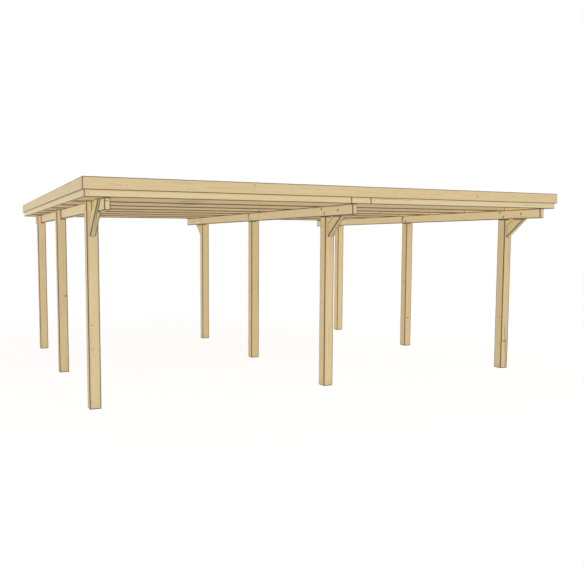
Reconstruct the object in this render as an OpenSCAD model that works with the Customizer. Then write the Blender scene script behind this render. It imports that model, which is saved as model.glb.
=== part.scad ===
// Flat-roofed double carport in square-sawn timber. Three rows of three notched posts carry
// purlins that run front to back. Rafters lie across the purlins, and a boarded deck with a
// roofing sheet lies on the rafters, inside a stepped fascia of two rings of boards.
// Millimetres, +X to the right along the open front, +Y to the back, +Z up.
// The origin is on the ground under the middle of the roof.

/* [Overall] */
// Width of the roof over the upper fascia
roof_width = 5900; // [4800:20:9000]
// Depth of the roof over the upper fascia
roof_depth = 5560; // [4200:20:7600]
// Height of the posts, from the ground to the underside of the rafters
post_height = 2120; // [1800:20:3000]

/* [Posts] */
// Side of a square post
post_side = 120; // [95:5:180]
// From the outer face of the upper fascia to the outer posts, left and right
side_overhang = 140; // [60:10:600]
// From the outer face of the upper fascia to the front posts
front_overhang = 590; // [520:10:1000]

/* [Purlins] */
// Width of a purlin, which is also how deep the posts are notched
purlin_width = 60; // [40:5:90]
// Depth of a purlin, which is also how high the posts are notched
purlin_depth = 120; // [90:5:180]

/* [Knee braces] */
// Thickness of a brace
brace_width = 60; // [30:5:80]
// Depth of a brace, square to its length
brace_depth = 120; // [60:5:125]
// How far a brace reaches out from its post at the underside of the purlin
brace_reach = 290; // [200:10:300]
// How far below the underside of the purlin the foot of a brace is
brace_drop = 240; // [200:10:400]

/* [Rafters] */
// Number of rafters
rafter_count = 8; // [7:1:16]
// Width of a rafter
rafter_width = 60; // [40:5:90]
// Depth of a rafter, which is also the height of the lower fascia
rafter_depth = 120; // [90:5:200]

/* [Fascia] */
// Thickness of the fascia boards
fascia_thick = 20; // [14:1:30]
// Height of the upper fascia boards
upper_fascia_height = 120; // [90:5:150]
// How far the upper fascia stands above the roofing sheet
fascia_rise = 43; // [20:1:60]
// Length of the short board between the two long ones, front and back, in the lower fascia
infill_length = 250; // [100:10:600]
// From the middle of the roof to the middle of that short board
infill_offset = 50; // [-600:10:600]
// Rafter, counted from the front, on which the boards of the lower fascia meet, left and right
side_joint_rafter = 5; // [2:1:7]

/* [Roof] */
// Thickness of the deck boards
deck_thick = 19; // [15:1:28]
// Thickness of the roofing sheet
sheet_thick = 3; // [2:1:5]

/* [Hidden] */

LINES = ["front", "centre", "back"];
COLUMNS = ["left", "middle", "right"];
ENDS = ["front", "back"];
SIDES = ["left", "right"];
END_RUN = ["left", "infill", "right"];

timber = "#dcc698";
timber_light = "#ead7a9";
timber_shade = "#cdb484";
deck_timber = "#d3bc8c";
sheet_grey = "#4a4b4d";

// how far a cutting shape runs past the faces that it leaves by
cut = 5;

// half widths and half depths of the rings of the roof: the outside of the lower fascia, which is
// also the inside of the upper one, and the inside of the lower fascia, where the rafters end
lower_x = roof_width / 2 - fascia_thick;
lower_y = roof_depth / 2 - fascia_thick;
inner_x = lower_x - fascia_thick;
inner_y = lower_y - fascia_thick;

// levels of the underside of the purlins, of the deck and of the roofing sheet, and of the sheet's top
purlin_z = post_height - purlin_depth;
deck_z = post_height + rafter_depth;
sheet_z = deck_z + deck_thick;
roof_z = sheet_z + sheet_thick;

// middles of the rows of posts, left to right, and of the lines of posts, front to back: the two
// lengths of each purlin meet at Y = 0, over the back face of the centre post
row_x = roof_width / 2 - side_overhang - post_side / 2;
column_x = [-row_x, 0, row_x];
front_y = front_overhang + post_side / 2 - roof_depth / 2;
centre_y = -post_side / 2;
line_y = [front_y, centre_y, 2 * centre_y - front_y];

// whether the purlin of each row is on the left-hand half of its posts
purlin_on_left = [false, true, true];

// A block between two opposite corners. Its plan is drawn from the corners themselves, so that
// blocks which meet share exactly the same edge.
module block(low, high) {
    translate([0, 0, low.z])
        linear_extrude(high.z - low.z)
            polygon([[low.x, low.y], [high.x, low.y], [high.x, high.y], [low.x, high.y]]);
}

module mirror_if(flipped, axis) {
    if (flipped) mirror(axis) children();
    else children();
}

// The children are drawn for a purlin on the right-hand half of its posts, with X = 0 on the face
// where purlin and tongue meet.
module in_row(column) {
    translate([column_x[column], 0, 0])
        mirror_if(purlin_on_left[column], [1, 0, 0])
            translate([post_side / 2 - purlin_width, 0, 0]) children();
}

// Square post, notched at the top so that a tongue stands beside the purlin.
module post(column, line) {
    half = post_side / 2;
    color(timber)
        in_row(column)
            translate([0, line_y[line], 0])
                difference() {
                    block([purlin_width - post_side, -half, 0], [purlin_width, half, post_height]);
                    block([0, -half - cut, purlin_z],
                          [purlin_width + cut, half + cut, post_height + cut]);
                }
}

// Front length of a purlin: over the centre post it is halved and keeps the outer half.
module purlin_front(column) {
    color(timber_light)
        in_row(column)
            difference() {
                block([0, -lower_y, purlin_z], [purlin_width, 0, post_height]);
                block([-cut, -post_side, purlin_z - cut],
                      [purlin_width / 2, cut, post_height + cut]);
            }
}

// Back length of a purlin: over the centre post it keeps the half beside the tongue.
module purlin_back(column) {
    color(timber_light)
        in_row(column)
            difference() {
                block([0, -post_side, purlin_z], [purlin_width, lower_y, post_height]);
                block([purlin_width / 2, -post_side - cut, purlin_z - cut],
                      [purlin_width + cut, 0, post_height + cut]);
            }
}

// One layer of a brace, from its foot on the post up to a level plane above the foot.
module brace_layer(start, rise) {
    slope = brace_drop / brace_reach;
    heel = brace_depth * norm([brace_reach, brace_drop]) / brace_reach;
    translate([start, 0, purlin_z - brace_drop])
        rotate([90, 0, 90])
            linear_extrude(brace_width / 2)
                polygon([[0, 0], [rise / slope, rise], [(rise - heel) / slope, rise], [0, heel]]);
}

// Knee brace from an end post out to its purlin. The layer under the purlin stops there, and the
// layer under the tongue is lapped past the purlin up to the rafters.
module brace(column, end) {
    at_front = end == "front";
    face_y = (at_front ? -line_y[0] : line_y[2]) + post_side / 2;
    color(timber_shade)
        in_row(column)
            mirror_if(at_front, [0, 1, 0])
                translate([0, face_y, 0])
                    union() {
                        brace_layer(0, brace_drop);
                        brace_layer(-brace_width / 2, brace_drop + purlin_depth);
                    }
}

// Middle of a rafter, counted from the front. The first and the last lie against the fascia.
function rafter_y(number) =
    (2 * inner_y - rafter_width) * ((number - 1) / (rafter_count - 1) - 1 / 2);

module rafter(number) {
    low_y = rafter_y(number) - rafter_width / 2;
    color(timber) block([-inner_x, low_y, post_height], [inner_x, low_y + rafter_width, deck_z]);
}

// Lower fascia along the front or the back: two long boards with a short one between them.
module lower_fascia_end(end, run) {
    joints = [-lower_x, infill_offset - infill_length / 2, infill_offset + infill_length / 2, lower_x];
    color(timber_light)
        mirror_if(end == "back", [0, 1, 0])
            block([joints[run], -lower_y, post_height], [joints[run + 1], -inner_y, deck_z]);
}

// Lower fascia along the left or the right: two boards between the front and the back ones.
module lower_fascia_side(side, end) {
    joint = rafter_y(side_joint_rafter);
    low_y = end == "front" ? -inner_y : joint;
    high_y = end == "front" ? joint : inner_y;
    color(timber_light)
        mirror_if(side == "right", [1, 0, 0])
            block([-lower_x, low_y, post_height], [-inner_x, high_y, deck_z]);
}

// Upper fascia board, fixed to the outside of the lower one. The front and back boards cover the
// ends of the left and right ones.
module upper_fascia(edge) {
    high_z = roof_z + fascia_rise;
    low_z = high_z - upper_fascia_height;
    color(timber)
        if (edge == "front" || edge == "back")
            mirror_if(edge == "back", [0, 1, 0])
                block([-roof_width / 2, -roof_depth / 2, low_z], [roof_width / 2, -lower_y, high_z]);
        else
            mirror_if(edge == "right", [1, 0, 0])
                block([-roof_width / 2, -lower_y, low_z], [-lower_x, lower_y, high_z]);
}

module roof_deck() {
    color(deck_timber) block([-lower_x, -lower_y, deck_z], [lower_x, lower_y, sheet_z]);
}

module roofing_sheet() {
    color(sheet_grey)
        block([-lower_x, -lower_y, sheet_z], [lower_x, lower_y, roof_z]);
}

for (line = [0 : 2], column = [0 : 2])
    post(column, line);

for (column = [0 : 2]) {
    purlin_front(column);
    purlin_back(column);
}

for (column = [0 : 2], end = ENDS)
    brace(column, end);

for (number = [1 : rafter_count])
    rafter(number);

for (end = ENDS, run = [0 : 2])
    lower_fascia_end(end, run);

for (side = SIDES, end = ENDS)
    lower_fascia_side(side, end);

for (edge = concat(ENDS, SIDES))
    upper_fascia(edge);

roof_deck();
roofing_sheet();
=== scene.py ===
import math
import random

import bmesh
import bpy
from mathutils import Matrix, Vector


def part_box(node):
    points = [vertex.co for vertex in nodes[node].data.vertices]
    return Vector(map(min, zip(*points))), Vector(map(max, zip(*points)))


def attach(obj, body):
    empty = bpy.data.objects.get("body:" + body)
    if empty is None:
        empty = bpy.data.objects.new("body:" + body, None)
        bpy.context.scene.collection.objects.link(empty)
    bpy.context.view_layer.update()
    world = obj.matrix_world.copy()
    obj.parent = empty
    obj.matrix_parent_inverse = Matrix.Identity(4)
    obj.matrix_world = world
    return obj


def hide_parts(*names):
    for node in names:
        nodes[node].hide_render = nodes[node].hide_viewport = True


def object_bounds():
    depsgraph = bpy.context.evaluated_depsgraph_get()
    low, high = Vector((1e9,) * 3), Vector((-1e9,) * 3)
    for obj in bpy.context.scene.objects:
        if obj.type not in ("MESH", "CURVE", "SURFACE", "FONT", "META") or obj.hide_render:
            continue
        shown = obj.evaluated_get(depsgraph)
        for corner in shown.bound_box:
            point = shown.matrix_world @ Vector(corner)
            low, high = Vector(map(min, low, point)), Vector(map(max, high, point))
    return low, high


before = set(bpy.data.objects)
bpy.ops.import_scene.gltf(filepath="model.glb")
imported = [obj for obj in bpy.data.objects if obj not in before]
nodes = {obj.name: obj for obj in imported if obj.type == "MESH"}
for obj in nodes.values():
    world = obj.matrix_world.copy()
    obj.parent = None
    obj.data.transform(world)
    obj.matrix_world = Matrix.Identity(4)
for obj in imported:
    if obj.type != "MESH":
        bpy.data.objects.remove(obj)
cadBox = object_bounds()
scene = bpy.context.scene
chance = random.Random(20)  # gives each timber its own stretch of tree, and the sheet its swell
print("frame loaded,", len(nodes), "timbers and sheets")


def addPiece(name, mesh):
    piece = bpy.data.objects.new(name, mesh)
    scene.collection.objects.link(piece)
    return piece


def settled(piece):
    # the same piece with its modifiers worked in
    graph = bpy.context.evaluated_depsgraph_get()
    shown = piece.evaluated_get(graph)
    mesh = bpy.data.meshes.new_from_object(shown, preserve_all_data_layers=True, depsgraph=graph)
    piece.modifiers.clear()
    piece.data = mesh
    return piece


def meshFrom(bm, name):
    mesh = bpy.data.meshes.new(name)
    bm.to_mesh(mesh)
    bm.free()
    return mesh


def spotsAlong(low, high, edge, spacing):
    # even places from one end to the other, never further apart than the spacing
    first, last = low + edge, high - edge
    gaps = max(1, math.ceil((last - first) / spacing))
    return [first + (last - first) * i / gaps for i in range(gaps + 1)]


def spunMesh(name, outline, sides):
    # a closed shape turned about Z; the outline is (radius, height) from the top middle down
    bm = bmesh.new()
    rings = []
    for radius, height in outline:
        ring = [
            bm.verts.new((radius * math.cos(a), radius * math.sin(a), height))
            for a in (2 * math.pi * i / sides for i in range(sides))
        ]
        rings.append(ring)
    for upper, lower in zip(rings, rings[1:]):
        for i in range(sides):
            bm.faces.new((upper[i], lower[i], lower[(i + 1) % sides], upper[(i + 1) % sides]))
    bm.faces.new(rings[0])
    bm.faces.new(rings[-1][::-1])
    bmesh.ops.recalc_face_normals(bm, faces=bm.faces)
    return meshFrom(bm, name)


# short ways to add nodes: a value is another node's output or a plain one
def feed(tree, value, socket):
    if isinstance(value, bpy.types.NodeSocket):
        tree.links.new(value, socket)
    elif value is not None:
        socket.default_value = value


def addNode(tree, kind, **values):
    # names have _ for spaces
    node = tree.nodes.new(kind)
    for title, value in values.items():
        feed(tree, value, node.inputs[title.replace("_", " ")])
    return node


def calc(tree, operation, *values, clamp=False):
    node = tree.nodes.new("ShaderNodeMath")
    node.operation = operation
    node.use_clamp = clamp
    for value, socket in zip(values, node.inputs):
        feed(tree, value, socket)
    return node.outputs[0]


def times(tree, first, second):
    return calc(tree, "MULTIPLY", first, second)


def timesPlus(tree, first, second, third, clamp=False):
    return calc(tree, "MULTIPLY_ADD", first, second, third, clamp=clamp)


def minus(tree, first, second):
    return calc(tree, "SUBTRACT", first, second)


def vectorCalc(tree, operation, *values):
    node = tree.nodes.new("ShaderNodeVectorMath")
    node.operation = operation
    for value, socket in zip(values, node.inputs):
        feed(tree, value, socket)
    return node.outputs["Vector"]


def length(tree, first, second):
    # the long side of a right-angled triangle
    squares = timesPlus(tree, first, first, times(tree, second, second))
    return calc(tree, "SQRT", squares)


def apart(tree, vector):
    return tuple(addNode(tree, "ShaderNodeSeparateXYZ", Vector=vector).outputs)


def together(tree, x, y, z):
    return addNode(tree, "ShaderNodeCombineXYZ", X=x, Y=y, Z=z).outputs[0]


def noise(tree, spot, scale, detail=2.0, roughness=0.5, distortion=0.0):
    # scale is about how many lumps there are for each metre along X, Y and Z
    return addNode(
        tree, "ShaderNodeTexNoise", Vector=vectorCalc(tree, "MULTIPLY", spot, scale), Scale=1.0,
        Detail=detail, Roughness=roughness, Distortion=distortion,
    ).outputs["Fac"]


def ramp(tree, value, fromLow, fromHigh, toLow=0.0, toHigh=1.0):
    node = tree.nodes.new("ShaderNodeMapRange")
    node.interpolation_type = "SMOOTHSTEP"
    names = ("Value", "From Min", "From Max", "To Min", "To Max")
    for given, name in zip((value, fromLow, fromHigh, toLow, toHigh), names):
        feed(tree, given, node.inputs[name])
    return node.outputs["Result"]


def blend(tree, amount, first, second, mode="MIX"):
    node = tree.nodes.new("ShaderNodeMix")
    node.data_type = "RGBA"
    node.blend_type = mode
    node.clamp_factor = True
    feed(tree, amount, node.inputs[0])
    feed(tree, first, node.inputs[6])
    feed(tree, second, node.inputs[7])
    return node.outputs[2]


def attribute(tree, name, output):
    node = tree.nodes.new("ShaderNodeAttribute")
    node.attribute_name = name
    return node.outputs[output]


def objectPlace(tree):
    return tree.nodes.new("ShaderNodeTexCoord").outputs["Object"]


def makeGroup(name, kind, inputs, outputs):
    # inputs are (name, kind of socket, start value)
    tree = bpy.data.node_groups.new(name, kind)
    for title, socketType, start in inputs:
        socket = tree.interface.new_socket(name=title, in_out="INPUT", socket_type="NodeSocket" + socketType)
        if start is not None:
            socket.default_value = start
    for title, socketType in outputs:
        tree.interface.new_socket(name=title, in_out="OUTPUT", socket_type="NodeSocket" + socketType)
    return tree, tree.nodes.new("NodeGroupInput"), tree.nodes.new("NodeGroupOutput")


def place(tree, group, **values):
    # puts a shader group in a tree; names have _ for spaces
    node = tree.nodes.new("ShaderNodeGroup")
    node.node_tree = group
    for title, value in values.items():
        feed(tree, value, node.inputs[title.replace("_", " ")])
    return node.outputs


def newMaterial(name):
    material = bpy.data.materials.new(name)
    material.use_nodes = True
    tree = material.node_tree
    return material, tree, tree.nodes["Principled BSDF"]


def dress(tree, surface, look, colour, rough, height):
    relief = addNode(
        tree, "ShaderNodeBump", Strength=look["reliefShow"], Distance=look["relief"], Height=height,
    )
    normal = relief.outputs["Normal"]
    for value, name in ((colour, "Base Color"), (rough, "Roughness"), (normal, "Normal")):
        feed(tree, value, surface.inputs[name])


# spruce has growth rings, knots, fibres and drying cracks in each timber's own directions:
# X along the grain, Y and Z across it
figure = {
    "ownStretch": (41.0, 13.0, 17.0),  # from one timber's wood to another's, m
    "pithSpread": 0.15,  # how far the tree's heart may be off the timber's middle, m
    "lean": 0.030,  # drift of the heart for each metre of length, m
    "wander": 0.026,  # sway of the heart along the length, m
    "wanderScale": (0.8, 0.0, 0.0),
    "knotPitch": (1.9, 6.5, 6.5),  # knots for each metre along and across
    "knotSize": 0.0095,  # the middling knot's radius, m
    "knotSpread": (1.1, 0.35),  # its spread and its least, as shares of it
    "knotWhere": (0.18, 0.24),  # below this there is no knot
    "knotTaper": 0.36,  # a knot's width as a share of its length
    "knotEdge": (0.8, 1.0),  # in knot radii, as are the next two
    "rimInside": (0.6, 0.95),
    "rimOutside": (1.0, 1.45),
    "ragged": 0.003,  # unevenness of a knot's outline, m
    "raggedScale": (160.0, 160.0, 160.0),
    "ringWobble": 1.8,  # how uneven the years are, in rings
    "wobbleScale": (55.0, 1.0, 0.25),  # outwards, from timber to timber and along
    "ringSwell": 1.6,  # how far the rings swell in and out, in rings
    "swellScale": (2.0, 16.0, 16.0),
    "knotBend": 2.6,  # how far the rings bend round a knot, in rings
    "bendFade": -0.16,  # how fast that dies out
    "lateSharpness": 2.4,  # how late in the year the wood darkens
    "yearEnd": (0.9, 1.0),  # where in the year the dark band stops
    "streakScale": (0.7, 26.0, 26.0),
    "fibreScale": (11.0, 640.0, 640.0),
    "crackPlanes": 5,  # ways out from the heart that may crack
    "crackTurn": 7.0,  # how far a timber's seed turns them, in gaps between two
    "crackBend": 0.14,  # how far they bend, the same
    "bendScale": (3.0, 9.0, 9.0),
    "crackWhere": (0.54, 0.66),
    "crackScale": (1.1, 5.0, 5.0),
    "crackWidth": 0.0009,
    "crackEdge": (0.4, 1.0),
    "leastBranch": 0.001, "leastKnot": 0.0004, "leastCrack": 0.00001,  # nothing is divided by less, m
}


def knotPattern(tree, spot, own, shift, heartY, heartZ):
    # branches that run outwards from the heart: the knots, their rims, and the bend of the rings
    pitch = figure["knotPitch"]
    scaled = vectorCalc(tree, "MULTIPLY", own, pitch)
    cells = addNode(tree, "ShaderNodeTexVoronoi", Vector=scaled, Scale=1.0)
    middle = vectorCalc(tree, "MULTIPLY", cells.outputs["Position"], tuple(1 / p for p in pitch))
    middle = vectorCalc(tree, "SUBTRACT", middle, shift)
    offX, offY, offZ = apart(tree, vectorCalc(tree, "SUBTRACT", spot, middle))
    middleY, middleZ = apart(tree, middle)[1:]
    branchY = minus(tree, middleY, heartY)
    branchZ = minus(tree, middleZ, heartZ)
    branch = length(tree, branchY, branchZ)
    side = minus(tree, times(tree, offY, branchZ), times(tree, offZ, branchY))
    side = calc(tree, "DIVIDE", side, calc(tree, "MAXIMUM", branch, figure["leastBranch"]))
    reach = times(tree, length(tree, offY, offZ), figure["knotTaper"])
    away = length(tree, length(tree, offX, side), reach)
    ragged = noise(tree, own, figure["raggedScale"], 1.0)
    away = timesPlus(tree, minus(tree, ragged, 0.5), figure["ragged"], away)

    size, wanted = apart(tree, cells.outputs["Color"])[:2]
    radius = timesPlus(tree, size, *figure["knotSpread"])
    radius = times(tree, radius, figure["knotSize"])
    radius = times(tree, radius, ramp(tree, wanted, *figure["knotWhere"]))
    share = calc(tree, "DIVIDE", away, calc(tree, "MAXIMUM", radius, figure["leastKnot"]))
    knots = ramp(tree, share, *figure["knotEdge"], 1.0, 0.0)
    rims = ramp(tree, share, *figure["rimInside"])
    rims = times(tree, rims, ramp(tree, share, *figure["rimOutside"], 1.0, 0.0))
    fade = times(tree, times(tree, share, share), figure["bendFade"])
    return knots, rims, calc(tree, "POWER", 2.718, fade)  # a bell curve


def ringPattern(tree, own, along, seedX, radius, ringGap, bend):
    # growth rings: slow darkening through the year, then a sharp edge
    years = calc(tree, "DIVIDE", radius, ringGap)
    uneven = noise(tree, together(tree, radius, seedX, along), figure["wobbleScale"], 1.0)
    years = timesPlus(tree, uneven, figure["ringWobble"], years)
    swells = noise(tree, own, figure["swellScale"], 2.0)
    years = timesPlus(tree, swells, figure["ringSwell"], years)
    years = timesPlus(tree, bend, figure["knotBend"], years)
    year = calc(tree, "FRACT", years)
    dark = calc(tree, "POWER", year, figure["lateSharpness"])
    return times(tree, dark, ramp(tree, year, *figure["yearEnd"], 1.0, 0.0))


def crackPattern(tree, own, fromY, fromZ, radius, seedZ):
    # drying cracks lie on planes through the heart
    gap = 2 * math.pi / figure["crackPlanes"]
    angle = calc(tree, "DIVIDE", calc(tree, "ARCTAN2", fromZ, fromY), gap)
    bends = noise(tree, own, figure["bendScale"], 3.0)
    angle = timesPlus(tree, bends, figure["crackBend"], angle)
    angle = calc(tree, "ADD", angle, times(tree, seedZ, figure["crackTurn"]))
    offPlane = calc(tree, "ABSOLUTE", minus(tree, calc(tree, "FRACT", angle), 0.5))
    offPlane = times(tree, times(tree, offPlane, gap), radius)
    here = ramp(tree, noise(tree, own, figure["crackScale"], 1.0), *figure["crackWhere"])
    halfWidth = calc(tree, "MAXIMUM", times(tree, here, figure["crackWidth"]), figure["leastCrack"])
    share = calc(tree, "DIVIDE", offPlane, halfWidth)
    return times(tree, ramp(tree, share, *figure["crackEdge"], 1.0, 0.0), here)


def makeFigure():
    tree, given, made = makeGroup(
        "spruceFigure", "ShaderNodeTree",
        (("Place", "Vector", None), ("Seed", "Vector", None),
         ("Ring Gap", "Float", 0.005)),
        (("Rings", "Float"), ("Streaks", "Float"), ("Fibres", "Float"),
         ("Knots", "Float"), ("Knot Rims", "Float"), ("Cracks", "Float")),
    )
    spot, seed, ringGap = given.outputs[:3]
    seedX, seedY, seedZ = apart(tree, seed)
    along, across, through = apart(tree, spot)
    shift = vectorCalc(tree, "MULTIPLY", seed, figure["ownStretch"])
    own = vectorCalc(tree, "ADD", spot, shift)  # a different stretch of tree for each timber

    # where the heart of the tree runs, across the timber
    sway = minus(tree, noise(tree, own, figure["wanderScale"], 1.0), 0.5)
    sway = times(tree, sway, figure["wander"])
    drift = timesPlus(tree, times(tree, minus(tree, seedX, 0.5), figure["lean"]), along, sway)
    heartY = timesPlus(tree, minus(tree, seedY, 0.5), figure["pithSpread"], drift)
    heartZ = timesPlus(tree, minus(tree, seedZ, 0.5), figure["pithSpread"], sway)
    fromY = minus(tree, across, heartY)
    fromZ = minus(tree, through, heartZ)
    radius = length(tree, fromY, fromZ)
    knots, rims, bend = knotPattern(tree, spot, own, shift, heartY, heartZ)
    rings = ringPattern(tree, own, along, seedX, radius, ringGap, bend)
    streaks = noise(tree, own, figure["streakScale"], 3.0, 0.55)
    fibres = noise(tree, own, figure["fibreScale"], 2.0, 0.6)
    cracks = crackPattern(tree, own, fromY, fromZ, radius, seedZ)
    for value, socket in zip((rings, streaks, fibres, knots, rims, cracks), made.inputs):
        feed(tree, value, socket)
    return tree


spruceFigure = makeFigure()

# how each timber's spruce looks; what a look leaves out comes from plainLook
plainLook = {
    "ringGap": 0.0050, "ringShow": 0.60, "streakShow": 0.16, "knotShow": 0.62,
    "spread": 0.08,  # how much one timber may be lighter than another
    # painted shade: the colour and strength of the dark band along every eased edge and in inside corners
    "arris": (0.075, 0.049, 0.024, 1), "edgeShadeShow": 0.94,
    "damp": 0.0, "rough": 0.62,
}
spruceLooks = {
    "frame": {
        "early": (0.755, 0.618, 0.362, 1), "late": (0.560, 0.405, 0.188, 1),
        "ringGap": 0.0048, "damp": 0.16, "rough": 0.58,
    },
    "fascia": {
        "early": (0.755, 0.618, 0.362, 1), "late": (0.575, 0.415, 0.198, 1),
        "ringGap": 0.0055, "ringShow": 0.55, "spread": 0.06, "rough": 0.56, "knotShow": 0.50,
    },
    # a lighter copy of the fascia spruce: painted highlight along the lower boards
    "lower fascia": {
        "early": (0.835, 0.698, 0.425, 1), "late": (0.635, 0.470, 0.232, 1),
        "ringGap": 0.0055, "ringShow": 0.50, "spread": 0.06, "rough": 0.56, "knotShow": 0.50,
    },
    # a lighter copy of the frame spruce: partly the purlins' paler timber, partly painted light against the
    # shade under the roof
    "purlin": {
        "early": (0.835, 0.705, 0.440, 1), "late": (0.630, 0.475, 0.238, 1),
        "ringGap": 0.0048, "ringShow": 0.55, "spread": 0.06, "rough": 0.58, "knotShow": 0.55,
    },
    # a darker copy of the frame spruce: painted shade under the roof
    "rafter": {"early": (0.690, 0.573, 0.356, 1), "late": (0.515, 0.382, 0.196, 1)},
    # a darker copy of the same spruce: painted shade on the deck under the roof
    "deck": {
        "early": (0.600, 0.495, 0.308, 1), "late": (0.450, 0.332, 0.170, 1),
        "ringGap": 0.0042, "ringShow": 0.55, "streakShow": 0.18, "spread": 0.12,
        # the same painted edge shade on the deck boards
        "arris": (0.120, 0.080, 0.040, 1), "edgeShadeShow": 0.62,
    },
}
spruceFinish = {
    "streakWhere": (0.35, 0.75),
    "fibreShade": (0.16, 0.92),  # how much the fibres lighten the wood, and from what
    "reddish": (1.04, 0.965, 0.88, 1), "reddishShow": 0.5,
    "knot": (0.300, 0.145, 0.055, 1),
    "rim": (0.120, 0.060, 0.028, 1), "rimShow": 0.8,
    "crack": (0.075, 0.042, 0.022, 1), "crackShow": 0.85,
    "soaked": (0.74, 0.66, 0.56, 1), "soakedShow": 0.30, "soakedRough": 0.15,  # end grain
    "edgeShadeFade": 1.6,  # how fast the painted edge shade fades across its rim
    "fibreRough": 0.16, "specular": 0.32,
    "fibreHeight": 0.30, "ringHeight": 0.45, "crackDepth": 3.0, "knotHeight": 0.4,
    "relief": 0.0006, "reliefShow": 0.7,
}
dampFoot = {
    "height": 0.11,  # how far up the posts the ground's water and dust reach, m
    "ragged": 0.10, "raggedScale": (14.0, 14.0, 5.0), "tone": (0.330, 0.245, 0.150, 1),
}


def makeSpruce(name, look):
    finish = spruceFinish
    material, tree, surface = newMaterial(name)
    spot = attribute(tree, "timberPlace", "Vector")
    seed = attribute(tree, "timberSeed", "Vector")
    arris = attribute(tree, "arris", "Fac")
    endGrain = attribute(tree, "endGrain", "Fac")
    rings, streaks, fibres, knots, rims, cracks = place(
        tree, spruceFigure, Place=spot, Seed=seed, Ring_Gap=look["ringGap"],
    )
    seedX, seedY = apart(tree, seed)[:2]

    colour = blend(tree, times(tree, rings, look["ringShow"]), look["early"], look["late"])
    streaky = times(tree, ramp(tree, streaks, *finish["streakWhere"]), look["streakShow"])
    colour = blend(tree, streaky, colour, look["late"])
    pale = timesPlus(tree, fibres, *finish["fibreShade"])
    pale = times(tree, pale, timesPlus(tree, seedX, look["spread"], 1 - look["spread"] / 2))
    colour = blend(tree, 1.0, colour, together(tree, pale, pale, pale), "MULTIPLY")
    reddish = blend(tree, 1.0, colour, finish["reddish"], "MULTIPLY")
    colour = blend(tree, times(tree, seedY, finish["reddishShow"]), colour, reddish)
    colour = blend(tree, times(tree, knots, look["knotShow"]), colour, finish["knot"])
    colour = blend(tree, times(tree, rims, look["knotShow"] * finish["rimShow"]), colour, finish["rim"])
    colour = blend(tree, times(tree, cracks, finish["crackShow"]), colour, finish["crack"])
    soaked = blend(tree, 1.0, colour, finish["soaked"], "MULTIPLY")
    colour = blend(tree, times(tree, endGrain, finish["soakedShow"]), colour, soaked)
    # painted shade: a dark band laid along every eased edge and into inside corners
    edgeShade = calc(tree, "POWER", arris, finish["edgeShadeFade"])
    colour = blend(tree, times(tree, edgeShade, look["edgeShadeShow"]), colour, look["arris"])
    if look["damp"]:  # the feet stand on the ground and take up a little water and dust
        here = objectPlace(tree)
        edge = minus(tree, noise(tree, here, dampFoot["raggedScale"], 3.0), 0.5)
        height = timesPlus(tree, edge, dampFoot["ragged"], apart(tree, here)[2])
        wet = times(tree, ramp(tree, height, 0.0, dampFoot["height"], 1.0, 0.0), look["damp"])
        colour = blend(tree, wet, colour, dampFoot["tone"])

    fibreRough = finish["fibreRough"]
    rough = timesPlus(tree, fibres, fibreRough, look["rough"] - fibreRough / 2)
    openPores = times(tree, endGrain, finish["soakedRough"])
    rough = calc(tree, "ADD", rough, openPores, clamp=True)
    ridges = times(tree, rings, finish["ringHeight"])
    height = timesPlus(tree, fibres, finish["fibreHeight"], ridges)
    height = minus(tree, height, times(tree, cracks, finish["crackDepth"]))
    height = calc(tree, "ADD", height, times(tree, knots, finish["knotHeight"]))
    dress(tree, surface, finish, colour, rough, height)
    surface.inputs["Specular IOR Level"].default_value = finish["specular"]
    return material


spruce = {name: makeSpruce(name + " spruce", {**plainLook, **look}) for name, look in spruceLooks.items()}
print("spruce mixed for", ", ".join(spruce))


steelLook = {
    "colour": (0.60, 0.47, 0.22, 1), "dull": (0.40, 0.31, 0.15, 1), "dullWhere": (0.35, 0.7),
    "cloudScale": (220.0, 220.0, 220.0), "fineScale": (1400.0, 1400.0, 1400.0),
    "rough": 0.32, "roughSpread": 0.25, "metallic": 0.85, "relief": 0.0001, "reliefShow": 0.5,
}


def makeSteel():
    look = steelLook
    material, tree, surface = newMaterial("yellow passivated steel")
    here = objectPlace(tree)
    cloudy = noise(tree, here, look["cloudScale"], 3.0)
    colour = blend(tree, ramp(tree, cloudy, *look["dullWhere"]), look["colour"], look["dull"])
    rough = timesPlus(tree, cloudy, look["roughSpread"], look["rough"])
    surface.inputs["Metallic"].default_value = look["metallic"]
    fine = noise(tree, here, look["fineScale"], 2.0)
    dress(tree, surface, look, colour, rough, fine)
    return material


steel = makeSteel()

rubberLook = {
    "colour": (0.046, 0.048, 0.052, 1), "worn": (0.085, 0.087, 0.090, 1),
    "wornScale": (3.0, 3.0, 3.0), "wornWhere": (0.35, 0.7),
    "dust": (0.300, 0.280, 0.240, 1),
    "poolScale": (1.3, 1.3, 0.0), "poolWhere": (0.46, 0.72),  # where rain stood longest
    "gritScale": (60.0, 60.0, 60.0), "gritRange": (0.3, 0.7), "gritShow": (0.10, 0.26),
    "speckWhere": (0.60, 0.72), "speckShow": 0.22,
    "adhesive": (0.165, 0.160, 0.150, 1),
    "smearScale": (30.0, 9.0, 30.0), "smearRange": (0.25, 0.6), "smearShow": (0.35, 0.8),
    "rough": 0.55, "dustRough": 0.35, "wornRough": 0.12,
    "skinScale": (420.0, 420.0, 420.0), "skinHeight": 0.35,
    "creaseScale": (5.0, 2.0, 5.0), "creaseHeight": 6.0, "relief": 0.0006, "reliefShow": 0.6,
}


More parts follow.
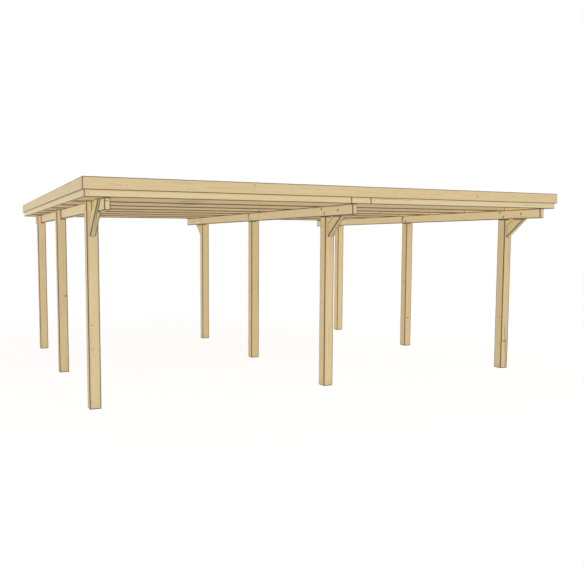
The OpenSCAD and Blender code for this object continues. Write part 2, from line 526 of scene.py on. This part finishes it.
def makeRubber():
    look = rubberLook
    material, tree, surface = newMaterial("roofing rubber")
    here = objectPlace(tree)
    mottle = noise(tree, here, look["wornScale"], 5.0, 0.6)
    colour = blend(tree, ramp(tree, mottle, *look["wornWhere"]), look["colour"], look["worn"])
    pool = noise(tree, here, look["poolScale"], 4.0, 0.6)
    grit = noise(tree, here, look["gritScale"], 4.0, 0.7)
    gritty = ramp(tree, grit, *look["gritRange"], *look["gritShow"])
    dusty = times(tree, ramp(tree, pool, *look["poolWhere"]), gritty)
    speck = times(tree, ramp(tree, grit, *look["speckWhere"]), look["speckShow"])
    top = attribute(tree, "flatPart", "Fac")
    dusty = times(tree, calc(tree, "MAXIMUM", dusty, speck), top)
    colour = blend(tree, dusty, colour, look["dust"])
    smear = noise(tree, here, look["smearScale"], 3.0, 0.6)
    smear = ramp(tree, smear, *look["smearRange"], *look["smearShow"])
    lap = times(tree, attribute(tree, "adhesive", "Fac"), smear)
    colour = blend(tree, lap, colour, look["adhesive"])
    rough = timesPlus(tree, dusty, look["dustRough"], look["rough"])
    rough = timesPlus(tree, mottle, look["wornRough"], rough, clamp=True)
    skin = noise(tree, here, look["skinScale"], 2.0)
    creases = noise(tree, here, look["creaseScale"], 2.0, 0.5, 1.2)
    skin = times(tree, skin, look["skinHeight"])
    height = timesPlus(tree, creases, look["creaseHeight"], skin)
    dress(tree, surface, look, colour, rough, height)
    return material


rubber = makeRubber()
print("steel and rubber mixed")


timberShape = {
    "arris": 0.006,  # size of the eased edge on posts, purlins, braces and rafters, m
    "boardArris": 0.0035,  # the same on the fascia boards, m
    "easeSteps": 2,
    "rim": 0.011,  # band beside an edge that carries the painted edge shade, m
    "boardRim": 0.0090,
    "rimShare": 0.28,  # a rim is never more than this share of its face's width
    "mergeGap": 0.00002,
    "flatAngle": math.radians(1),  # faces that meet at less than this are made one
    "sharpAngle": math.radians(20),  # edges sharper than this are eased
    "onArris": 1.01,  # points this many arrises from an edge lie on its arris
    "endGrain": 0.8,  # faces that look along the grain this much show end grain
}
seatShape = {  # countersunk hole for a screw head, m
    "radius": 0.0056, "depth": 0.0030, "bottom": 0.0036, "above": 0.001, "sides": 12,
}


def cutSeats(mesh, seats):
    # seats are (place on the surface, outward direction)
    cone = spunMesh("seatCone", (
        (seatShape["radius"], seatShape["above"]),
        (seatShape["radius"], 0.0),
        (seatShape["bottom"], -seatShape["depth"]),
    ), seatShape["sides"])
    bm = bmesh.new()
    for spot, out in seats:
        bm.from_mesh(cone)
        turn = Vector(out).to_track_quat("Z", "Y").to_matrix()
        bm.verts.ensure_lookup_table()
        for vert in bm.verts[-len(cone.vertices):]:
            vert.co = Vector(spot) + turn @ vert.co
    cutter = addPiece("seatCutter", meshFrom(bm, "seatCutter"))
    work = addPiece("seatWork", mesh)
    drill = work.modifiers.new("drill", "BOOLEAN")
    drill.operation = "DIFFERENCE"
    drill.solver = "EXACT"
    drill.object = cutter
    drilled = settled(work).data
    bpy.data.objects.remove(work)
    bpy.data.objects.remove(cutter)
    return drilled


def edgeDistance(co, low, high):
    # how far a point on a box's surface is from the nearest edge
    gaps = sorted(min(abs(c - a), abs(b - c)) for c, a, b in zip(co, low, high))
    return gaps[1]


def setValues(mesh, name, kind, domain, values):
    layer = mesh.attributes.get(name) or mesh.attributes.new(name, kind, domain)
    layer.data.foreach_set("vector" if kind == "FLOAT_VECTOR" else "value", values)


def easedMesh(node, ease, rim):
    # a copy of the node with eased edges; "arris" is 1 on them and 0 past the rim, and masks the painted
    # edge shade
    bm = bmesh.new()
    bm.from_mesh(nodes[node].data)
    bmesh.ops.remove_doubles(bm, verts=bm.verts, dist=timberShape["mergeGap"])
    bmesh.ops.dissolve_limit(bm, angle_limit=timberShape["flatAngle"], verts=bm.verts, edges=bm.edges)
    sharp = timberShape["sharpAngle"]
    edges = [e for e in bm.edges if e.is_manifold and e.is_convex and e.calc_face_angle() > sharp]
    eased = bmesh.ops.bevel(
        bm, geom=edges, offset=ease, offset_type="OFFSET", segments=timberShape["easeSteps"],
        profile=0.5, affect="EDGES", clamp_overlap=True,
    )["faces"]
    rimLayer = bm.verts.layers.float.new("arris")
    for vert in bm.verts:
        vert[rimLayer] = 1.0
    known = set(bm.verts)
    eased = set(eased)
    flat = [f for f in bm.faces if f not in eased]
    for face in flat:
        width = 2 * face.calc_area() / face.calc_perimeter()
        band = min(rim, width * timberShape["rimShare"])
        bmesh.ops.inset_individual(bm, faces=[face], thickness=band, use_even_offset=True)
    for vert in bm.verts:
        if vert not in known:
            vert[rimLayer] = 0.0
    bmesh.ops.recalc_face_normals(bm, faces=bm.faces)
    return meshFrom(bm, node + "_timber")


def markGrain(mesh, middle, along):
    # each point's place along and across the grain, and the timber's seed
    along = Vector(along).normalized()
    across = Vector((1, 0, 0)) if abs(along.x) < 0.5 else Vector((0, 1, 0))
    across = (across - along * across.dot(along)).normalized()
    through = along.cross(across)
    seed = [chance.random() for _ in range(3)]
    spots, seeds = [], []
    for vert in mesh.vertices:
        off = vert.co - middle
        spots += [off.dot(along), off.dot(across), off.dot(through)]
        seeds += seed
    setValues(mesh, "timberPlace", "FLOAT_VECTOR", "POINT", spots)
    setValues(mesh, "timberSeed", "FLOAT_VECTOR", "POINT", seeds)
    setValues(mesh, "endGrain", "FLOAT", "FACE", [
        1.0 if abs(f.normal.dot(along)) > timberShape["endGrain"] else 0.0 for f in mesh.polygons
    ])


def planedTimber(node, along, slot, look=None, seats=()):
    # along is the direction of the grain
    board = slot == "fascia"
    ease = timberShape["boardArris" if board else "arris"]
    rim = timberShape["boardRim" if board else "rim"]
    mesh = easedMesh(node, ease, rim)
    low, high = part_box(node)
    if seats:
        mesh = cutSeats(mesh, seats)
        setValues(mesh, "arris", "FLOAT", "POINT", [
            1.0 if edgeDistance(v.co, low, high) < ease * timberShape["onArris"] else 0.0
            for v in mesh.vertices
        ])
    markGrain(mesh, (low + high) / 2, along)
    mesh.materials.clear()
    mesh.materials.append(spruce[look or slot])
    piece = addPiece(node + "_timber", mesh)
    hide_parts(node)
    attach(piece, "root")


screwing = {
    "spacing": 0.52,  # along the fascia boards, m
    "endGap": 0.042,  # from a board's end
    "lowRow": 0.030,  # above a board's lower edge
    "highRow": 0.048,  # below the upper fascia's top edge
    "rafterJoint": 0.014,  # either side of a joint that lies on a rafter
    "endReach": 0.001,  # a rafter this near the end of a board has a screw too, m
    "seat": 0.0008,  # how far a head lies below the surface
}
rafterNames = sorted(n for n in nodes if n.startswith("rafter_"))
fasciaNames = sorted(n for n in nodes if "fascia_" in n)
outward = {
    "front": Vector((0, -1, 0)), "back": Vector((0, 1, 0)),
    "left": Vector((-1, 0, 0)), "right": Vector((1, 0, 0)),
}
rafterLines = [sum(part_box(n)[i].y for i in (0, 1)) / 2 for n in rafterNames]


def fasciaSide(node):
    return next(word for word in node.split("_") if word in outward)


def fasciaSeats(node):
    low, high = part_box(node)
    out = outward[fasciaSide(node)]
    rows = [low.z + screwing["lowRow"]]
    if node.startswith("upper"):
        rows.append(high.z - screwing["highRow"])
    if out.y:  # along the front or back
        face = low.y if out.y < 0 else high.y
        lines = [(x, face) for x in spotsAlong(low.x, high.x, screwing["endGap"], screwing["spacing"])]
    else:  # down a side, one at each rafter end
        face = low.x if out.x < 0 else high.x
        first, last = low.y + screwing["rafterJoint"], high.y - screwing["rafterJoint"]
        near = screwing["endReach"]
        ends = [min(max(y, first), last) for y in rafterLines if low.y - near < y < high.y + near]
        lines = [(face, y) for y in ends]
    return [(Vector((x, y, z)), out) for x, y in lines for z in rows]


seatsOf = {node: fasciaSeats(node) for node in fasciaNames}

for node in sorted(nodes):
    kind = node.split("_")[0]
    if kind == "post":
        planedTimber(node, (0, 0, 1), "frame")
    elif kind == "purlin":
        # the purlins take the lighter purlin spruce, partly painted light
        planedTimber(node, (0, 1, 0), "frame", "purlin")
    elif kind == "rafter":
        # the rafters take the darker rafter spruce, which is painted shade
        planedTimber(node, (1, 0, 0), "frame", "rafter")
    elif kind == "brace":
        low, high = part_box(node)
        forward = -1 if "front" in node else 1
        planedTimber(node, (0, forward * (high.y - low.y), high.z - low.z), "frame")
    elif node in seatsOf:
        grain = (1, 0, 0) if outward[fasciaSide(node)].y else (0, 1, 0)
        # the lower boards take the lighter spruce, which is a painted highlight
        look = "lower fascia" if node.startswith("lower") else "fascia"
        planedTimber(node, grain, "fascia", look, seatsOf[node])
print("timbers planed and fascias drilled")


def instancesOf(tree, shapeObject, points):
    # the object's shape on every point
    shape = addNode(tree, "GeometryNodeObjectInfo", Object=shapeObject).outputs["Geometry"]
    return addNode(tree, "GeometryNodeInstanceOnPoints", Points=points, Instance=shape)


def finishTree(tree, instances, finish, made):
    # ends a tree: real meshes in one material
    real = addNode(tree, "GeometryNodeRealizeInstances", Geometry=instances).outputs["Geometry"]
    paint = addNode(tree, "GeometryNodeSetMaterial", Geometry=real, Material=finish)
    feed(tree, paint.outputs["Geometry"], made.inputs["Geometry"])


def randomNumber(tree, most, seed):
    # from 0 to most; the first two inputs of the node are for vectors
    node = tree.nodes.new("FunctionNodeRandomValue")
    node.data_type = "FLOAT"
    feed(tree, 0.0, node.inputs[2])
    feed(tree, most, node.inputs[3])
    feed(tree, seed, node.inputs["Seed"])
    return node.outputs[1]


def makeFixingTree():
    # sets a head on every point, turned to its facing direction
    tree, given, made = makeGroup(
        "fixingsOnPoints", "GeometryNodeTree",
        (("Points", "Geometry", None), ("Head", "Object", None),
         ("Turn Seed", "Int", 3), ("Finish", "Material", None)),
        (("Geometry", "Geometry"),),
    )
    points, head, turnSeed, finish = given.outputs[:4]
    facing = tree.nodes.new("GeometryNodeInputNamedAttribute")
    facing.data_type = "FLOAT_VECTOR"
    facing.inputs["Name"].default_value = "facing"
    aim = addNode(tree, "FunctionNodeAlignRotationToVector", Vector=facing.outputs["Attribute"])
    aim.axis = "Z"
    angle = randomNumber(tree, 2 * math.pi, turnSeed)
    spin = addNode(tree, "FunctionNodeAxisAngleToRotation", Axis=(0, 0, 1), Angle=angle)
    rotate = addNode(
        tree, "FunctionNodeRotateRotation", Rotation=aim.outputs["Rotation"],
        Rotate_By=spin.outputs["Rotation"],
    )
    rotate.rotation_space = "LOCAL"
    heads = instancesOf(tree, head, points)
    feed(tree, rotate.outputs["Rotation"], heads.inputs["Rotation"])
    finishTree(tree, heads.outputs["Instances"], finish, made)
    return tree


fixingTree = makeFixingTree()


def runTree(name, start, tree, **values):
    # grows the tree on a start mesh and returns it as one plain piece
    piece = addPiece(name, start)
    grow = piece.modifiers.new("grow", "NODES")
    grow.node_group = tree
    for item in tree.interface.items_tree:
        title = item.name.replace(" ", "_")
        if item.in_out == "INPUT" and title in values:
            grow[item.identifier] = values[title]
    return settled(piece)


def setFixings(name, headMesh, spots, seed):
    # spots are (place, outward direction)
    start = bpy.data.meshes.new(name)
    start.from_pydata([spot for spot, out in spots], [], [])
    facing = []
    for spot, out in spots:
        facing += list(Vector(out).normalized())
    setValues(start, "facing", "FLOAT_VECTOR", "POINT", facing)
    head = addPiece(name + "_head", headMesh)
    piece = runTree(name, start, fixingTree, Head=head, Turn_Seed=seed, Finish=steel)
    bpy.data.objects.remove(head)
    piece.data.name = name
    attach(piece, "root")


# a countersunk head with a driver recess, its rim at height 0
screwHead = spunMesh("screwHead", (
    (0.0013, -0.0016), (0.0019, 0.0), (0.0046, 0.0), (0.0048, -0.0003), (0.0022, -0.0030),
), 10)
seated = [(spot - out * screwing["seat"], out) for seats in seatsOf.values() for spot, out in seats]
setFixings("fascia_screws", screwHead, seated, 5)
print("fascia screws:", len(seated))

# carriage bolts through each tongue and purlin, and through the top of each brace
bolting = {
    "side": 0.031,  # from the middle of a post, m
    "low": 0.036, "high": 0.086,  # above the underside of the purlin, m
    "braceLevel": 0.5,  # share of the purlin's depth
    "topBand": 0.001,  # points this near a brace's top belong to its upper end, m
}
boltHead = spunMesh("boltHead", (
    (0.0022, 0.0052), (0.0068, 0.0044), (0.0102, 0.0027),
    (0.0120, 0.0006), (0.0120, -0.0010), (0.0050, -0.0030),
), 16)
washer = spunMesh("washer", ((0.0160, 0.0024), (0.0170, 0.0018), (0.0170, -0.0010)), 20)


def makeNut():
    # a hexagon nut with the bolt's end standing through it
    nut = spunMesh("nut", ((0.0078, 0.0100), (0.0094, 0.0092), (0.0094, 0.0020)), 6)
    end = spunMesh("boltEnd", ((0.0040, 0.0150), (0.0049, 0.0140), (0.0049, 0.0095)), 12)
    bm = bmesh.new()
    bm.from_mesh(nut)
    bm.from_mesh(end)
    bm.to_mesh(nut)
    bm.free()
    return nut


heads, nuts = [], []


def addBolt(y, z, headFace, nutFace, side):
    heads.append((Vector((headFace, y, z)), Vector((side, 0, 0))))
    nuts.append((Vector((nutFace, y, z)), Vector((-side, 0, 0))))


rows = {"left": -1, "middle": 1, "right": 1}  # which side of its purlin the tongue is on
for row, side in rows.items():
    purlinLow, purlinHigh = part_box("purlin_" + row + "_front")
    purlinFace = purlinHigh.x if side < 0 else purlinLow.x
    for line in ("front", "centre", "back"):
        low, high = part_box("post_" + line + "_" + row)
        tongueFace = low.x if side < 0 else high.x
        y = (low.y + high.y) / 2
        for step, level in ((-1, "low"), (1, "high")):
            z = purlinLow.z + bolting[level]
            addBolt(y + step * bolting["side"], z, tongueFace, purlinFace, side)
    for line in ("front", "back"):
        node = "brace_" + row + "_" + line
        low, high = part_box(node)
        forward = -1 if line == "front" else 1
        upper = [v.co.y for v in nodes[node].data.vertices if v.co.z > high.z - bolting["topBand"]]
        slope = (high.y - low.y) / (high.z - low.z)
        level = purlinLow.z + (purlinHigh.z - purlinLow.z) * bolting["braceLevel"]
        y = (min(upper) + max(upper)) / 2 - forward * (high.z - level) * slope
        addBolt(y, level, low.x if side < 0 else high.x, purlinFace, side)
setFixings("bolt_heads", boltHead, heads, 7)
setFixings("bolt_washers", washer, nuts, 8)
setFixings("bolt_nuts", makeNut(), nuts, 9)
print("bolts:", len(heads))

# screws through the sloping edge of each brace, and slantwise through the rafters into the purlins
frameScrews = {
    "shares": (0.20, 0.52),  # how far up a brace
    "apart": 0.015,  # either side of a brace's middle, m
    "proud": 0.0003,  # how far a head stands out of a brace, m
    "rafterLevel": 0.040,  # above a rafter's lower edge, m
    "stagger": 0.012,  # either side of a purlin's middle, m
    "slant": 0.55,
    "sunk": 0.0012,  # how far a head is sunk into a rafter, m
}
spots = []
for row in rows:
    for line in ("front", "back"):
        low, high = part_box("brace_" + row + "_" + line)
        forward = -1 if line == "front" else 1
        postFace = high.y if forward < 0 else low.y
        reach, rise = high.y - low.y, high.z - low.z
        out = Vector((0, forward * rise, -reach)).normalized()
        for share in frameScrews["shares"]:
            for step in (-1, 1):
                x = (low.x + high.x) / 2 + step * frameScrews["apart"]
                spot = Vector((x, postFace + forward * reach * share, low.z + rise * share))
                spots.append((spot + out * frameScrews["proud"], out))
for name in rafterNames:
    low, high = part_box(name)
    for row in rows:
        purlinLow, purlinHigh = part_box("purlin_" + row + "_front")
        for face, side in ((low.y, -1), (high.y, 1)):
            x = (purlinLow.x + purlinHigh.x) / 2 + side * frameScrews["stagger"]
            out = Vector((0, side, frameScrews["slant"])).normalized()
            spot = Vector((x, face, low.z + frameScrews["rafterLevel"]))
            spots.append((spot - out * frameScrews["sunk"], out))
setFixings("frame_screws", screwHead, spots, 11)
print("frame screws:", len(spots))


deckBoards = {
    "cover": 0.121,  # about the width that one board covers, m
    "joint": 0.0005, "chamfer": 0.0040, "rim": 0.0060,
    "upperEdgeShade": 0.5,  # how dark the painted shade on the hidden upper edges is
    "unevenness": 0.0005, "seed": 14,
}


def makeBoardTree():
    # lays boards side by side along X, each a little higher or lower
    tree, given, made = makeGroup(
        "boardsSideBySide", "GeometryNodeTree",
        (("Geometry", "Geometry", None), ("Board", "Object", None),
         ("Count", "Int", 10), ("Start", "Vector", None),
         ("Pitch", "Float", 0.12), ("Unevenness", "Float", 0.0005),
         ("Seed", "Int", 1), ("Finish", "Material", None)),
        (("Geometry", "Geometry"),),
    )
    board, count, start, pitch, uneven, seed, finish = given.outputs[1:8]
    offset = together(tree, pitch, 0.0, 0.0)
    line = addNode(tree, "GeometryNodeMeshLine", Count=count, Start_Location=start, Offset=offset)
    laid = instancesOf(tree, board, line.outputs["Mesh"])
    lift = addNode(
        tree, "GeometryNodeTranslateInstances", Instances=laid.outputs["Instances"],
        Translation=together(tree, 0.0, 0.0, randomNumber(tree, uneven, seed)),
    )
    draw = tree.nodes.new("FunctionNodeRandomValue")
    draw.data_type = "FLOAT_VECTOR"
    draw.inputs[0].default_value = (0, 0, 0)
    draw.inputs[1].default_value = (1, 1, 1)
    feed(tree, seed, draw.inputs["Seed"])
    mark = tree.nodes.new("GeometryNodeStoreNamedAttribute")
    mark.data_type = "FLOAT_VECTOR"
    mark.domain = "INSTANCE"
    mark.inputs["Name"].default_value = "timberSeed"
    feed(tree, lift.outputs["Instances"], mark.inputs["Geometry"])
    feed(tree, draw.outputs[0], mark.inputs["Value"])
    finishTree(tree, mark.outputs["Geometry"], finish, made)
    return tree


def makeBoard(width, thick, length):
    # lies along Y with its underside at height 0; the lower edges are chamfered
    c, r, upper = deckBoards["chamfer"], deckBoards["rim"], deckBoards["upperEdgeShade"]
    half = width / 2
    section = [  # (x, z, how dark the painted edge shade is at the point)
        (-half, c, 1.0), (-half + c, 0.0, 1.0), (-half + c + r, 0.0, 0.0), (half - c - r, 0.0, 0.0),
        (half - c, 0.0, 1.0), (half, c, 1.0), (half, thick, upper), (-half, thick, upper),
    ]
    ends = (-length / 2, length / 2)
    verts = [(x, y, z) for y in ends for x, z, rim in section]
    n = len(section)
    faces = [(i, (i + 1) % n, n + (i + 1) % n, n + i) for i in range(n)]
    faces += [tuple(range(n))[::-1], tuple(range(n, 2 * n))]
    bm = bmesh.new()
    points = [bm.verts.new(vert) for vert in verts]
    for face in faces:
        bm.faces.new([points[i] for i in face])
    bmesh.ops.recalc_face_normals(bm, faces=bm.faces)
    mesh = meshFrom(bm, "deckBoard")
    places = [value for x, y, z in verts for value in (y, x, z)]
    setValues(mesh, "timberPlace", "FLOAT_VECTOR", "POINT", places)
    setValues(mesh, "arris", "FLOAT", "POINT", [rim for x, z, rim in section] * len(ends))
    setValues(mesh, "endGrain", "FLOAT", "FACE", [
        1.0 if abs(f.normal.y) > timberShape["endGrain"] else 0.0 for f in mesh.polygons
    ])
    return mesh


deckLow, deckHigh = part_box("roof_deck")
count = round((deckHigh.x - deckLow.x) / deckBoards["cover"])
pitch = (deckHigh.x - deckLow.x) / count
thick = deckHigh.z - deckLow.z - deckBoards["unevenness"]
boardObject = addPiece("deckBoard", makeBoard(pitch - deckBoards["joint"], thick, deckHigh.y - deckLow.y))
# the boards take the darker deck spruce, which is painted shade
deck = runTree(
    "deck_boards", bpy.data.meshes.new("deck_start"), makeBoardTree(), Board=boardObject, Count=count,
    Start=(deckLow.x + pitch / 2, (deckLow.y + deckHigh.y) / 2, deckLow.z), Pitch=pitch,
    Unevenness=deckBoards["unevenness"], Seed=deckBoards["seed"], Finish=spruce["deck"],
)
bpy.data.objects.remove(boardObject)
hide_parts("roof_deck")
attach(deck, "root")
print("deck boards:", count)


sheetShape = {
    "widths": 4, "thick": 0.0015, "cell": 0.07,
    "lap": 0.080, "lapStep": 0.0002,
    "lapEnd": 1.5,  # the step of a lap has run out after this many laps
    "bead": 0.016,  # half the width of the adhesive that shows at a lap, m
    "cove": 0.014, "coveSteps": 4, "turnUp": 0.036,
    "swell": 0.0016,  # how far the sheet rises and sinks over the deck, m
    "waves": 7, "waveTurns": (0.6, 2.6), "waveStart": (0, 6.3), "waveSize": (0.3, 1), "waveShare": 2.5,
    "calm": 0.2,  # how near the turned-up edge the swell dies out, m
    "sharpAngle": math.radians(35),
}


def sheetColumns(low, high, x0, x1):
    # (x, height, how much of the adhesive shows) across the sheet: the upper width steps up at each
    # seam and runs down again past the lap
    lap, bead, step, thickness = (sheetShape[name] for name in ("lap", "bead", "lapStep", "thick"))
    lapEnd = lap * sheetShape["lapEnd"]
    seams = [low.x + (high.x - low.x) * i / sheetShape["widths"] for i in range(1, sheetShape["widths"])]
    columns = [(x, 0.0, 0.0) for x in spotsAlong(x0, x1, 0.0, sheetShape["cell"])
               if all(not -2 * bead < x - seam < lapEnd for seam in seams)]
    for seam in seams:
        columns += [
            (seam - bead, 0.0, 0.0), (seam - step, 0.0, 1.0), (seam + step, thickness, 1.0),
            (seam + bead / 2, thickness, 0.0), (seam + lap, thickness, 0.0),
            (seam + (lap + lapEnd) / 2, thickness / 2, 0.0), (seam + lapEnd, 0.0, 0.0),
        ]
    return sorted(columns)


def gridBorder(grid):
    # the points round the outside, from one corner on, each with its way out
    last, end = len(grid) - 1, len(grid[0]) - 1
    places = [(i, 0) for i in range(last)] + [(last, j) for j in range(end)]
    places += [(i, end) for i in range(last, 0, -1)] + [(0, j) for j in range(end, 0, -1)]
    return [(grid[i][j], ((i == last) - (i == 0), (j == end) - (j == 0))) for i, j in places]


def makeSheet(low, high):
    # four widths with glued laps, turned up inside the fascia
    cove, thickness = sheetShape["cove"], sheetShape["thick"]
    edge = cove + thickness
    x0, x1, y0, y1 = low.x + edge, high.x - edge, low.y + edge, high.y - edge
    columns = sheetColumns(low, high, x0, x1)
    lines = spotsAlong(y0, y1, 0.0, sheetShape["cell"])
    turns, start, size = sheetShape["waveTurns"], sheetShape["waveStart"], sheetShape["waveSize"]
    waves = [
        (chance.uniform(*turns), chance.uniform(*turns), chance.uniform(*start), chance.uniform(*size))
        for _ in range(sheetShape["waves"])
    ]

    def swell(x, y):
        total = sum(w[3] * math.sin(w[0] * x + w[2]) * math.sin(w[1] * y + w[2] * 2) for w in waves)
        calm = min(1.0, min(x - x0, x1 - x, y - y0, y1 - y) / sheetShape["calm"])
        return sheetShape["swell"] * (1 + total / sheetShape["waveShare"]) * max(0.0, calm)

    bm = bmesh.new()
    flat = bm.verts.layers.float.new("flatPart")
    glued = bm.verts.layers.float.new("adhesive")
    grid = []
    for x, up, shows in columns:
        grid.append([bm.verts.new((x, y, low.z + thickness + up + swell(x, y))) for y in lines])
        for vert in grid[-1]:
            vert[flat] = 1.0
            vert[glued] = shows
    for i in range(len(columns) - 1):
        for j in range(len(lines) - 1):
            bm.faces.new((grid[i][j], grid[i + 1][j], grid[i + 1][j + 1], grid[i][j + 1]))

    # the cove up to the fascia, then the turned-up edge: (how far out, how far up)
    bends = [math.pi / 2 * k / sheetShape["coveSteps"] for k in range(1, sheetShape["coveSteps"] + 1)]
    profile = [(cove * math.sin(bend), cove * (1 - math.cos(bend))) for bend in bends]
    profile.append((cove, sheetShape["turnUp"]))
    border = gridBorder(grid)
    previous = [vert for vert, out in border]
    for off, up in profile:
        ring = []
        for vert, (ox, oy) in border:
            lift = up + (vert.co.z - low.z - thickness) * (1 - up / sheetShape["turnUp"])
            corner = (vert.co.x + ox * off, vert.co.y + oy * off, low.z + thickness + lift)
            ring.append(bm.verts.new(corner))
        for a in range(len(ring)):
            b = (a + 1) % len(ring)
            bm.faces.new((previous[a], previous[b], ring[b], ring[a]))
        for vert in ring:
            vert[flat] = max(0.0, 1 - up / cove)
        previous = ring
    bmesh.ops.recalc_face_normals(bm, faces=bm.faces)
    if sum(f.normal.z for f in bm.faces) < 0:
        bmesh.ops.reverse_faces(bm, faces=bm.faces)
    mesh = meshFrom(bm, "roofing_rubber")
    mesh.materials.append(rubber)
    piece = addPiece("roofing_rubber", mesh)
    wall = piece.modifiers.new("wall", "SOLIDIFY")
    wall.thickness = thickness
    wall.offset = -1.0
    settled(piece)
    for face in piece.data.polygons:
        face.use_smooth = True
    piece.data.set_sharp_from_angle(angle=sheetShape["sharpAngle"])
    return piece


sheetLow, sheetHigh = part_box("roofing_sheet")
roofingSheet = makeSheet(sheetLow, sheetHigh)
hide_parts("roofing_sheet")
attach(roofingSheet, "root")

# clout nails hold the turned-up edge
cloutNails = {"spacing": 0.15, "endGap": 0.05, "level": 0.026}
nailHead = spunMesh("nailHead", ((0.0030, 0.0014), (0.0050, 0.0009), (0.0052, 0.0), (0.0015, -0.0015)), 10)
inside = sheetShape["thick"]
level = sheetLow.z + sheetShape["thick"] + cloutNails["level"]
nails = []
for x in spotsAlong(sheetLow.x, sheetHigh.x, cloutNails["endGap"], cloutNails["spacing"]):
    nails.append((Vector((x, sheetLow.y + inside, level)), Vector((0, 1, 0))))
    nails.append((Vector((x, sheetHigh.y - inside, level)), Vector((0, -1, 0))))
for y in spotsAlong(sheetLow.y, sheetHigh.y, cloutNails["endGap"], cloutNails["spacing"]):
    nails.append((Vector((sheetLow.x + inside, y, level)), Vector((1, 0, 0))))
    nails.append((Vector((sheetHigh.x - inside, y, level)), Vector((-1, 0, 0))))
setFixings("clout_nails", nailHead, nails, 13)
print("roofing sheet laid,", len(nails), "clout nails")


studio = {
    "floorRadius": 90.0, "floorSides": 96, "floorGap": 0.0005, "floorTone": (0.80, 0.80, 0.80, 1),
    "whiteShare": 0.50,  # how much of what the camera sees of the floor is its own white
    "whiteGlow": 1.56,
    "world": 0.33,  # the light of the room
}
lamps = {  # name: strength, softness in radians, where it comes from, casts shadows
    "key": (0.36, 0.55, (0.42, -0.78, 0.62), True),
    "low key": (0.07, 0.6, (-0.66, -0.74, 0.05), True),
    "low fill": (1.83, 0.6, (-0.66, -0.74, 0.10), False),
    "left fill": (0.13, 0.6, (-1.00, -0.05, 0.05), False),
    "right fill": (1.20, 0.6, (0.95, 0.25, 0.10), False),
    "back fill": (1.20, 0.6, (0.20, 0.95, 0.10), False),
    "bounce": (0.35, 0.9, (-0.15, -0.25, -0.95), False),
}


def backgroundRays(tree):
    # camera, mirror and glass rays see the backdrop; all others see the light of the room
    path = tree.nodes.new("ShaderNodeLightPath")
    seen = calc(tree, "MAXIMUM", path.outputs["Is Camera Ray"], path.outputs["Is Glossy Ray"])
    return calc(tree, "MAXIMUM", seen, path.outputs["Is Transmission Ray"])


bm = bmesh.new()
bmesh.ops.create_circle(bm, cap_ends=True, radius=studio["floorRadius"], segments=studio["floorSides"])
for vert in bm.verts:
    vert.co.z = cadBox[0].z - studio["floorGap"]
floorMesh = meshFrom(bm, "studio_floor")
floorMaterial = bpy.data.materials.new("studio floor")
floorMaterial.use_nodes = True
tree = floorMaterial.node_tree
tree.nodes.clear()
matt = addNode(tree, "ShaderNodeBsdfDiffuse", Color=studio["floorTone"])
glow = addNode(tree, "ShaderNodeEmission", Strength=studio["whiteGlow"])
mix = tree.nodes.new("ShaderNodeMixShader")
feed(tree, times(tree, backgroundRays(tree), studio["whiteShare"]), mix.inputs[0])
feed(tree, matt.outputs[0], mix.inputs[1])
feed(tree, glow.outputs[0], mix.inputs[2])
feed(tree, mix.outputs[0], tree.nodes.new("ShaderNodeOutputMaterial").inputs["Surface"])
floorMesh.materials.append(floorMaterial)
addPiece("studio_floor", floorMesh)

world = bpy.data.worlds.new("studio")
scene.world = world
world.use_nodes = True
tree = world.node_tree
strength = timesPlus(tree, backgroundRays(tree), 1.0 - studio["world"], studio["world"])
tree.nodes["Background"].inputs["Color"].default_value = (1, 1, 1, 1)
feed(tree, strength, tree.nodes["Background"].inputs["Strength"])


def addSun(name, power, soft, comesFrom, shadows):
    lamp = bpy.data.lights.new(name, "SUN")
    lamp.energy = power
    lamp.angle = soft
    lamp.use_shadow = shadows
    holder = bpy.data.objects.new(name, lamp)
    holder.rotation_euler = Vector(comesFrom).to_track_quat("Z", "Y").to_euler()
    scene.collection.objects.link(holder)


for name, (power, soft, comesFrom, shadows) in lamps.items():
    addSun(name, power, soft, comesFrom, shadows)

viewpoint = {
    "lens": 40.60, "place": (-4.0305, -8.8535, 1.7267),  # mm, and metres in the carport's frame
    "pitch": -0.0787, "turn": -0.4091, "shift": 0.0890,  # radians, and a share of the picture's width
}
camera = bpy.data.cameras.new("viewpoint")
camera.lens = viewpoint["lens"]
camera.shift_x = viewpoint["shift"]
cameraObject = bpy.data.objects.new("viewpoint", camera)
cameraObject.location = viewpoint["place"]
cameraObject.rotation_euler = (math.pi / 2 + viewpoint["pitch"], 0, viewpoint["turn"])
scene.collection.objects.link(cameraObject)
scene.camera = cameraObject
scene.view_settings.view_transform = "Standard"
print("studio set")

for leftover in [m for m in bpy.data.meshes if m.users == 0]:
    bpy.data.meshes.remove(leftover)
